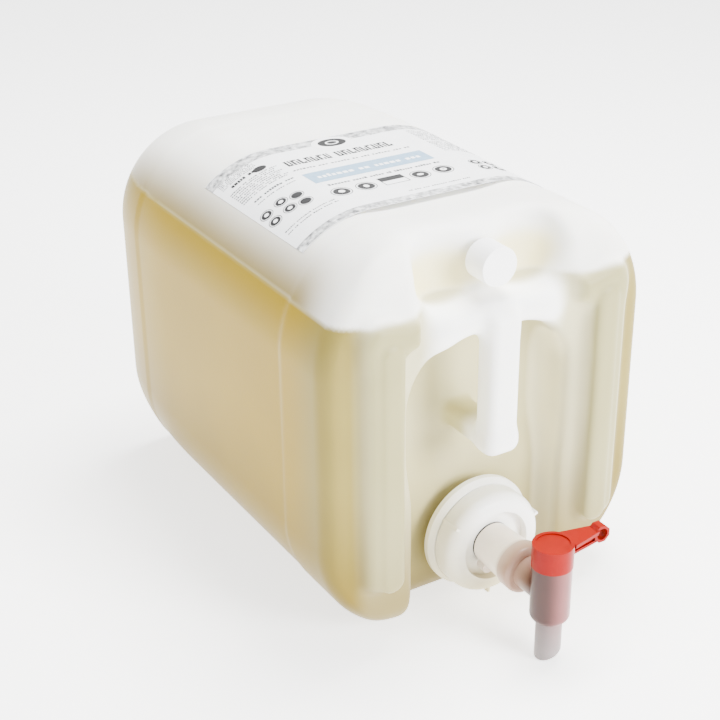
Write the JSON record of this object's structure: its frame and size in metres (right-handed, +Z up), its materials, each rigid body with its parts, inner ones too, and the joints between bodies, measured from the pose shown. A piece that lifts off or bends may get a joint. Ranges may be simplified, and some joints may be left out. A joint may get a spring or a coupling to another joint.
{
  "type": "jerrycan with dispensing tap",
  "caption": "Blown plastic jerrycan lying on its side, with a moulded carrying handle, a screw cap that holds a lever tap, a screw vent cap, a label and its liquid fill.",
  "frame": {"origin": "middle of the can's underside, on the flat face that it rests on", "axes": "+X across the can, -Y out of its front, where the handle, cap and tap are, +Z up"},
  "size_m": [0.264, 0.4466, 0.2964],
  "materials": {
    "natural_hdpe": "satin, milky and translucent",
    "detergent": "pale yellow liquid",
    "label_film": "satin printed film",
    "cap_plastic": "satin moulded",
    "gasket_foam": "soft matt foam",
    "tap_plastic": "satin, milky and translucent",
    "washer_rubber": "matt",
    "orange_plastic": "satin moulded",
    "white_plastic": "satin moulded"
  },
  "bodies": {
    "can": {"can_body": "natural_hdpe", "detergent_fill": "detergent", "label": "label_film"},
    "gasket": {"cap_gasket": "gasket_foam"},
    "closure": {"screw_cap": "cap_plastic", "tap_body": "tap_plastic", "tap_washer": "washer_rubber", "tap_nut": "tap_plastic"},
    "key": {"tap_key": "orange_plastic"},
    "liner": {"vent_liner": "gasket_foam"},
    "vent": {"vent_cap": "white_plastic"}
  },
  "joints": [
    {"name": "closure_lift", "type": "slide", "parent": "can", "child": "gasket", "axis": [0, -1, 0], "range_m": [0, 0.0091]},
    {"name": "closure_turn", "type": "hinge", "parent": "gasket", "child": "closure", "pos_m": [0, -0.18, 0.056], "axis": [0, -1, 0], "range_deg": [0, 540]},
    {"name": "key_turn", "type": "hinge", "parent": "closure", "child": "key", "pos_m": [0, -0.252, 0.08], "axis": [0, 0, -1], "range_deg": [0, 90]},
    {"name": "vent_lift", "type": "slide", "parent": "can", "child": "liner", "axis": [0, -1, 0], "range_m": [0, 0.0046]},
    {"name": "vent_turn", "type": "hinge", "parent": "liner", "child": "vent", "pos_m": [0, -0.17, 0.27], "axis": [0, -1, 0], "range_deg": [0, 540]}
  ],
  "couplings": [
    {"joint": "closure_lift", "follows": "closure_turn", "m_per_rad": 0.00095493},
    {"joint": "vent_lift", "follows": "vent_turn", "m_per_rad": 0.00047746}
  ]
}
